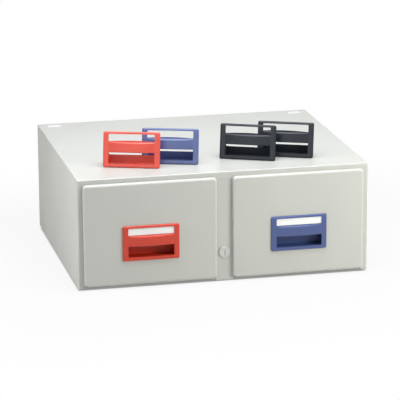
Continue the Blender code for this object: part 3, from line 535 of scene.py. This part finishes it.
# The spare handles are unhandled, so their red and blue keep the moulding's full sheen.
SPARE_RED_ABS = MouldedAbs(
    "moulded_red_abs_unhandled", "red_abs", Pigment.RED, hollow_roughness=0.55, gloss=1.0
)
SPARE_BLUE_ABS = MouldedAbs(
    "moulded_blue_abs_unhandled", "blue_abs", Pigment.BLUE, hollow_roughness=1.0, gloss=1.0
)
BLACK_ABS = MouldedAbs("moulded_black_abs", "black_abs", Pigment.BLACK, gloss=0.4)


def take(piece: bpy.types.Object) -> None:
    """Makes this the only selected object, and the active one.

    Args:
        piece: The object.
    """
    bpy.ops.object.select_all(action="DESELECT")
    piece.select_set(True)
    bpy.context.view_layer.objects.active = piece


def pick_faces(piece: bpy.types.Object, wanted: Callable[[bmesh.types.BMFace], bool]) -> None:
    """Opens the piece in edit mode with only some faces selected.

    Args:
        piece: The active mesh object.
        wanted: Says which faces to select.
    """
    bpy.ops.object.mode_set(mode="EDIT")
    bpy.ops.mesh.select_mode(type="FACE")
    bpy.ops.mesh.select_all(action="DESELECT")
    shape = bmesh.from_edit_mesh(piece.data)
    for face in shape.faces:
        face.select_set(wanted(face))
    bmesh.update_edit_mesh(piece.data)


def dress(node: str, finish: Finish) -> None:
    """Puts a finish on a CAD node that keeps its shape.

    Args:
        node: The CAD node.
        finish: Its surface.
    """
    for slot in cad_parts[node].material_slots:
        slot.material = finish.material()
    LOG.info("%s: %s", node, finish.name)


def settle(piece: bpy.types.Object, name: str, finish: Finish, body: str) -> bpy.types.Object:
    """Puts a new piece's place into its mesh, and gives it its finish and the body that it moves with.

    Args:
        piece: The modelled object.
        name: The piece's name.
        finish: Its surface.
        body: The CAD body that carries it.

    Returns:
        The same object.
    """
    take(piece)
    bpy.ops.object.transform_apply(location=True, rotation=True, scale=True)
    piece.name = piece.data.name = name
    piece.data.materials.clear()
    piece.data.materials.append(finish.material())
    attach(piece, body)
    LOG.info("%s: %d faces, %s, on %s", name, len(piece.data.polygons), finish.name, body)
    return piece


def mark_folds(piece: bpy.types.Object, least: float = 25.0, most: float = 50.0) -> None:
    """Marks the points inside a bend or rounded edge, where a finish draws thin or wears.

    Args:
        piece: The mesh object.
        least: The smallest turn between two faces of a bend, in degrees.
        most: The largest turn, past which an edge is a cut one.
    """
    shape = bmesh.new()
    shape.from_mesh(piece.data)
    shape.verts.ensure_lookup_table()
    worn = [0.0] * len(shape.verts)
    for edge in shape.edges:
        if len(edge.link_faces) == 2 and least < math.degrees(edge.calc_face_angle()) < most:
            for corner in edge.verts:
                worn[corner.index] = 1.0
    shape.free()
    piece.data.attributes.new(FOLD_WEAR, "FLOAT", "POINT").data.foreach_set("value", worn)


def skin(node: str, name: str, finish: Finish, body: str) -> bpy.types.Object:
    """Covers a CAD node with a merged copy of itself that shades smoothly over its bends.

    Args:
        node: The CAD node.
        name: The skin's name.
        finish: Its surface.
        body: The CAD body that carries it.

    Returns:
        The skin.
    """
    piece = bpy.data.objects.new(name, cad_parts[node].data.copy())
    bpy.context.scene.collection.objects.link(piece)
    take(piece)
    bpy.ops.mesh.customdata_custom_splitnormals_clear()
    bpy.ops.object.mode_set(mode="EDIT")
    bpy.ops.mesh.select_all(action="SELECT")
    bpy.ops.mesh.remove_doubles(threshold=MERGE_DISTANCE)
    bpy.ops.object.mode_set(mode="OBJECT")
    bpy.ops.object.shade_smooth_by_angle(angle=SKIN_SMOOTH)
    mark_folds(piece)
    flats = piece.modifiers.new("flats_stay_flat", "WEIGHTED_NORMAL")
    flats.mode, flats.weight, flats.keep_sharp = "FACE_AREA", 100, True
    bpy.ops.object.modifier_apply(modifier=flats.name)
    settle(piece, name, finish, body)
    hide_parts(node)
    return piece


def gather(
    name: str, pattern: bpy.types.Object, places: list[Matrix], finish: Finish, body: str
) -> bpy.types.Object:
    """Copies a small fastener to its places and joins the copies to one piece.

    Args:
        name: The piece's name.
        pattern: The fastener, modelled at the origin and pointing along +Z; it is used up.
        places: Where each copy goes.
        finish: Their surface.
        body: The CAD body that carries them.

    Returns:
        The joined piece.
    """
    copies = []
    for place in places:
        copy = bpy.data.objects.new(name, pattern.data.copy())
        copy.data.transform(place)
        bpy.context.scene.collection.objects.link(copy)
        copies.append(copy)
    bpy.data.objects.remove(pattern)
    take(copies[0])
    for copy in copies[1:]:
        copy.select_set(True)
    bpy.ops.object.join()
    return settle(copies[0], name, finish, body)


@dataclass(frozen=True)
class Rivet:
    """A blind rivet: a round head with a bevelled rim and a dished middle.

    The rim is a share of the height; the land round the dish and the dish's slope are shares of the radius.
    """

    radius: float
    height: float
    dish: float
    rim: float = 0.6
    land: float = 0.2
    slope: float = 0.1
    facets: int = 20

    def model(self) -> bpy.types.Object:
        """Models the head at the origin, standing along +Z.

        Returns:
            The head, closed, with its foot on z = 0.
        """
        bpy.ops.object.select_all(action="DESELECT")
        bpy.ops.mesh.primitive_cylinder_add(
            vertices=self.facets, radius=self.radius, depth=self.height, location=(0, 0, self.height / 2)
        )
        head = bpy.context.object
        pick_faces(head, lambda face: face.normal.z > LOOKS_ALONG)
        bpy.ops.mesh.bevel(offset=self.height * self.rim, segments=3, affect="EDGES")
        pick_faces(head, lambda face: face.normal.z > LOOKS_SQUARELY)
        bpy.ops.mesh.inset(thickness=self.radius * self.land, depth=0.0)
        bpy.ops.mesh.inset(thickness=self.radius * self.slope, depth=-self.dish)
        bpy.ops.object.mode_set(mode="OBJECT")
        bpy.ops.object.transform_apply(location=True, rotation=True, scale=True)
        bpy.ops.object.shade_smooth_by_angle(angle=FASTENER_SMOOTH)
        return head


def facing(at: Vector, outward: Vector) -> Matrix:
    """The place of a head that stands at a point and looks along a direction."""
    return Matrix.Translation(at) @ outward.to_track_quat("Z", "Y").to_matrix().to_4x4()


@dataclass
class SteelCase:
    """The case: folded wrapper, base pan, back panel, front pillar, partition, runners and feet."""

    body: str = "cabinet"
    locator_shoulder: float = 0.5 * MM

    def build(self) -> None:
        """Skins and dresses the case."""
        self.paint_locator_highlights(skin("case_wrapper", "case_wrapper_skin", ENAMEL, self.body))
        for node in ("base_pan", "back_panel", "front_pillar"):
            skin(node, f"{node}_skin", ENAMEL, self.body)
        dress("centre_partition", ENAMEL)
        for end in End:
            for side in Side:
                corner = f"{end.value}_{side.value}"
                skin(f"foot_{corner}", f"foot_pad_{corner}", RUBBER, self.body)
        for side in Side:
            for wall in Wall:
                dress(f"{side.value}_{wall.value}_runner", ZINC)

    def paint_locator_highlights(self, wrapper: bpy.types.Object) -> None:
        """Marks the tops of the two stacking locators, which get a painted highlight.

        Args:
            wrapper: The wrapper's skin.
        """
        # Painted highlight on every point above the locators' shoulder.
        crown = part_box("case_wrapper")[1].z - self.locator_shoulder
        locator_highlight = [float(corner.co.z > crown) for corner in wrapper.data.vertices]
        wrapper.data.attributes.new(PAINTED_LOCATOR_HIGHLIGHT, "FLOAT", "POINT").data.foreach_set("value", locator_highlight)


@dataclass
class CamLock:
    """The cam lock in the pillar, with a sprung shutter that closes its keyway."""

    shutter_depth: float = 1.6 * MM
    shutter_width: float = 1.5 * MM
    shutter_height: float = 7.4 * MM
    shutter_sheet: float = 0.8 * MM
    shutter_edge: float = 0.3 * MM

    def build(self) -> None:
        """Skins the lock's round parts, dresses the rest and models the shutter."""
        skin("lock_body", "lock_bezel", NICKEL, "cabinet")
        skin("lock_plug", "lock_cylinder", NICKEL, "lock")
        dress("lock_nut", ZINC)
        dress("lock_cam", ZINC)
        dress("cam_screw", ZINC)
        self.shutter()

    def shutter(self) -> None:
        """Models the leaf that stands behind the key slot."""
        low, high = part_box("lock_plug")
        middle = (low + high) / 2
        bpy.ops.object.select_all(action="DESELECT")
        bpy.ops.mesh.primitive_cube_add(
            size=1, location=(middle.x, low.y + self.shutter_depth + self.shutter_sheet / 2, middle.z)
        )
        leaf = bpy.context.object
        leaf.scale = (self.shutter_width, self.shutter_sheet, self.shutter_height)
        bpy.ops.object.transform_apply(location=True, rotation=True, scale=True)
        pick_faces(leaf, lambda face: face.normal.y < -LOOKS_ALONG)
        bpy.ops.mesh.bevel(offset=self.shutter_edge, segments=2, affect="EDGES")
        bpy.ops.object.mode_set(mode="OBJECT")
        bpy.ops.object.shade_smooth_by_angle(angle=FASTENER_SMOOTH)
        settle(leaf, "lock_key_shutter", ZINC, "lock")


@dataclass
class CardDrawer:
    """One drawer: pressed front, handle, tray on roller rails, and a sliding card follower."""

    side: Side
    handle_finish: MouldedAbs
    rivet: Rivet = Rivet(2.6 * MM, 0.9 * MM, 0.35 * MM)
    rivet_rows: tuple[float, ...] = (-150 * MM, -20 * MM, 110 * MM)
    rivet_rise: float = 10 * MM
    shoe_rivet_reach: float = 6 * MM
    shoe_rivet_back: float = 3 * MM
    sheet_and_gap: float = 1.3 * MM

    def build(self) -> None:
        """Skins and dresses the drawer, and adds its rivets."""
        name, body = self.side.value, f"{self.side.value}_drawer"
        skin(f"{name}_drawer_front", f"{name}_front_skin", ENAMEL, body)
        skin(f"{name}_tray", f"{name}_tray_skin", ENAMEL, body)
        skin(f"{name}_handle", f"{name}_handle_moulding", self.handle_finish, body)
        dress(f"{name}_front_liner", ENAMEL)
        dress(f"{name}_label_card", CARD)
        dress(f"{name}_lock_strike", ZINC)
        dress(f"{name}_follower_track", ZINC)
        dress(f"{name}_follower_shoe", NYLON)
        skin(f"{name}_follower_plate", f"{name}_follower_leaf", ZINC, f"{name}_follower")
        for wall in Wall:
            dress(f"{name}_{wall.value}_rail", ZINC)
            for end in End:
                roller = f"{name}_{wall.value}_{end.value}_roller"
                skin(roller, f"{roller}_tyre", NYLON, roller)
        self.tray_rivets(body)
        self.follower_rivets()

    def tray_rivets(self, body: str) -> None:
        """Sets the heads of the rivets that hold the rails, inside the tray's walls.

        Args:
            body: The drawer's CAD body.
        """
        name = self.side.value
        centre = sum(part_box(f"{name}_tray"), Vector()) / 2
        places = []
        for wall in Wall:
            low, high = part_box(f"{name}_{wall.value}_rail")
            inward = 1.0 if centre.x > low.x else -1.0
            inside = (high.x if inward > 0 else low.x) + inward * self.sheet_and_gap
            for row in self.rivet_rows:
                at = Vector((inside, row, low.z + self.rivet_rise))
                places.append(facing(at, Vector((inward, 0, 0))))
        gather(f"{name}_rail_rivets", self.rivet.model(), places, ZINC, body)

    def follower_rivets(self) -> None:
        """Sets the two rivets that hold the follower's plate on its shoe."""
        name = self.side.value
        low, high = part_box(f"{name}_follower_shoe")
        middle, top = (low + high) / 2, high.z + self.sheet_and_gap
        places = [
            facing(Vector((middle.x + step, middle.y + self.shoe_rivet_back, top)), Vector((0, 0, 1)))
            for step in (-self.shoe_rivet_reach, self.shoe_rivet_reach)
        ]
        gather(f"{name}_shoe_rivets", self.rivet.model(), places, ZINC, f"{name}_follower")


@dataclass
class SpareHandles:
    """The four spare handles that lean on the cabinet's top."""

    finishes: tuple[tuple[str, MouldedAbs], ...] = (
        ("red", SPARE_RED_ABS),
        ("blue", SPARE_BLUE_ABS),
        ("black_front", BLACK_ABS),
        ("black_rear", BLACK_ABS),
    )

    def build(self) -> None:
        """Skins each spare handle."""
        for colour, finish in self.finishes:
            node = f"spare_handle_{colour}"
            skin(node, f"spare_{colour}_moulding", finish, node)


@dataclass(frozen=True)
class Softbox:
    """A square studio softbox.

    One that isn't mirrored leaves no glare in the enamel, and one that isn't lighting only shows in gloss.
    """

    name: str
    place: tuple[float, float, float]
    aim: tuple[float, float, float]
    size: float
    watts: float
    tint: str = "#FFFFFF"
    mirrored: bool = True
    lighting: bool = True

    def hang(self) -> None:
        """Adds the lamp, turned to its aim."""
        lamp = bpy.data.lights.new(self.name, "AREA")
        lamp.shape, lamp.size, lamp.energy = "SQUARE", self.size, self.watts
        lamp.color = srgb(self.tint)[:3]
        box = bpy.data.objects.new(self.name, lamp)
        box.location = self.place
        box.rotation_euler = (Vector(self.aim) - Vector(self.place)).to_track_quat("-Z", "Y").to_euler()
        box.visible_glossy, box.visible_diffuse = self.mirrored, self.lighting
        bpy.context.scene.collection.objects.link(box)


@dataclass
class Studio:
    """The floor, the light and the camera at the photograph's place."""

    floor_size: float = 14.0
    floor_drop: float = 0.2 * MM
    floor_colour: str = "#C2C2C0"
    # The floor's own white: little under the case, most of it near the case, and all of it further off.
    contact_inset: tuple[float, float] = (2 * MM, 7 * MM)
    contact_reach: float = 4 * MM
    under_white: float = 0.25
    near_white: float = 0.9
    shadow_reach: tuple[float, float] = (0.05, 0.5)
    boxes: tuple[Softbox, ...] = (
        Softbox("overhead_softbox", (0.0, -0.27, 1.3), (0.0, -0.05, 0.2), 0.9, 6.6, "#F6F8FF"),
        Softbox("overhead_front_softbox", (0.0, -0.35, 0.95), (0.0, -0.1, 0.2), 0.7, 6.5, "#F6F8FF"),
        Softbox("left_softbox", (-0.8, -0.28, 0.45), (-0.25, -0.15, 0.1), 0.3, 3.2, mirrored=False),
        Softbox("right_softbox", (0.8, -0.85, 0.44), (0.1, -0.2, 0.1), 0.4, 7.8, "#FFFEF8", mirrored=False),
        Softbox("front_softbox", (0.19, -1.56, 0.41), (-0.05, -0.1, 0.22), 0.3, 1.1, mirrored=False),
        Softbox("sheen_card", (-0.84, -1.42, 0.46), (-0.1, -0.13, 0.22), 0.4, 0.85, lighting=False),
        Softbox("rear_softbox", (0.4, 1.9, 1.0), (0.0, 0.2, 0.1), 1.0, 12.0, mirrored=False),
        Softbox("rear_low_softbox", (0.2, 1.6, 0.2), (0.0, 0.2, 0.1), 0.6, 7.5, mirrored=False),
        Softbox("far_right_softbox", (1.9, 0.4, 0.8), (0.25, 0.0, 0.1), 0.8, 6.5, mirrored=False),
    )
    camera_place: tuple[float, float, float] = (-0.948136, -4.262365, 1.273408)
    camera_right: tuple[float, float, float] = (0.975643, -0.219283, -0.005927)
    camera_up: tuple[float, float, float] = (0.062803, 0.253333, 0.965338)
    lens_mm: float = 224.486
    film_mm: float = 36.0
    sight: float = 50.0

    def build(self) -> None:
        """Sets up the floor, world, lamps, camera and view transform."""
        self.floor()
        self.world()
        for box in self.boxes:
            box.hang()
        self.camera()
        bpy.context.scene.view_settings.view_transform = "Standard"

    def seen_directly(self, tree: bpy.types.NodeTree) -> bpy.types.NodeSocket:
        """Gives 1 for a ray that shows the background itself, also in metal, and 0 for one that lights.

        Args:
            tree: The floor's or the world's node tree.

        Returns:
            The output that holds it.
        """
        ray = add_node(tree, "ShaderNodeLightPath")
        shown = add_node(
            tree,
            "ShaderNodeMath",
            {0: ray.outputs["Is Camera Ray"], 1: ray.outputs["Is Glossy Ray"]},
            operation="MAXIMUM",
        ).outputs[0]
        return add_node(
            tree, "ShaderNodeMath", {0: shown, 1: ray.outputs["Is Transmission Ray"]}, operation="MAXIMUM"
        ).outputs[0]

    def distance_from_case(self, tree: bpy.types.NodeTree) -> bpy.types.NodeSocket:
        """Gives how far a point of the floor lies outside the dark under the case.

        Args:
            tree: The floor's node tree.

        Returns:
            The output that holds it, in metres.
        """
        low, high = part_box("case_wrapper")
        centre, half = (low + high) / 2, (high - low) / 2 - Vector((*self.contact_inset, 0.0))
        # Only the distance along the floor counts.
        half.z = self.floor_size
        spot = add_node(tree, "ShaderNodeTexCoord").outputs["Object"]
        offset = add_node(tree, "ShaderNodeVectorMath", {0: spot, 1: centre}, operation="SUBTRACT").outputs[0]
        reach = add_node(tree, "ShaderNodeVectorMath", {0: offset}, operation="ABSOLUTE").outputs[0]
        past = add_node(tree, "ShaderNodeVectorMath", {0: reach, 1: half}, operation="SUBTRACT").outputs[0]
        outside = add_node(tree, "ShaderNodeVectorMath", {0: past}, operation="MAXIMUM").outputs[0]
        return add_node(tree, "ShaderNodeVectorMath", {0: outside}, operation="LENGTH").outputs["Value"]

    def floor(self) -> None:
        """Lays the pale floor, which keeps the cabinet's shadow and fades to white round it."""
        bpy.ops.object.select_all(action="DESELECT")
        bpy.ops.mesh.primitive_plane_add(size=self.floor_size, location=(0, 0, -self.floor_drop))
        sheet = bpy.context.object
        pick_faces(sheet, lambda face: True)
        bpy.ops.mesh.inset(thickness=self.floor_size / 3, depth=0.0)
        bpy.ops.object.mode_set(mode="OBJECT")
        bpy.ops.object.transform_apply(location=True, rotation=True, scale=True)
        sheet.name = sheet.data.name = "studio_floor"
        paint = bpy.data.materials.new("matt_white_studio_floor")
        paint.use_nodes = True
        tree = paint.node_tree
        tree.nodes.clear()
        matt = add_node(tree, "ShaderNodeBsdfDiffuse", {"Color": srgb(self.floor_colour)})
        white = add_node(tree, "ShaderNodeEmission", {"Color": WHITE, "Strength": 1.0})
        away = self.distance_from_case(tree)
        contact = add_node(
            tree,
            "ShaderNodeMapRange",
            {"Value": away, "From Max": self.contact_reach, "To Min": self.under_white},
        ).outputs[0]
        near, far = self.shadow_reach
        faint = add_node(
            tree,
            "ShaderNodeMapRange",
            {"Value": away, "From Min": near, "From Max": far, "To Min": self.near_white, "To Max": 1.0},
            interpolation_type="SMOOTHSTEP",
        ).outputs[0]
        fade = add_node(tree, "ShaderNodeMath", {0: contact, 1: faint}, operation="MINIMUM").outputs[0]
        blank = add_node(
            tree, "ShaderNodeMath", {0: fade, 1: self.seen_directly(tree)}, operation="MULTIPLY"
        ).outputs[0]
        shown = add_node(tree, "ShaderNodeMixShader", {0: blank, 1: matt.outputs[0], 2: white.outputs[0]})
        add_node(tree, "ShaderNodeOutputMaterial", {"Surface": shown.outputs[0]})
        sheet.data.materials.append(paint)

    def world(self) -> None:
        """Makes the even white surround, which shows and leaves the lighting to the lamps."""
        sky = bpy.data.worlds.new("white_studio")
        bpy.context.scene.world = sky
        sky.use_nodes = True
        tree = sky.node_tree
        tree.nodes.clear()
        light = add_node(tree, "ShaderNodeBackground", {"Color": WHITE, "Strength": self.seen_directly(tree)})
        add_node(tree, "ShaderNodeOutputWorld", {"Surface": light.outputs[0]})

    def camera(self) -> None:
        """Stands the camera where the photograph was taken."""
        right, up = Vector(self.camera_right), Vector(self.camera_up)
        turn = Matrix((right, up, right.cross(up))).transposed().to_4x4()
        eye = bpy.data.cameras.new("photo_camera")
        eye.lens, eye.sensor_width, eye.clip_end = self.lens_mm, self.film_mm, self.sight
        stand = bpy.data.objects.new("photo_camera", eye)
        stand.matrix_world = Matrix.Translation(self.camera_place) @ turn
        bpy.context.scene.collection.objects.link(stand)
        bpy.context.scene.camera = stand


def main() -> None:
    """Builds the cabinet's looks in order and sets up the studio."""
    logging.basicConfig(level=logging.INFO, format="%(message)s")
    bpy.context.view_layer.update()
    for assembly in (
        SteelCase(),
        CamLock(),
        CardDrawer(Side.LEFT, RED_ABS),
        CardDrawer(Side.RIGHT, BLUE_ABS),
        SpareHandles(),
        Studio(),
    ):
        assembly.build()


if __name__ == "__main__":
    main()
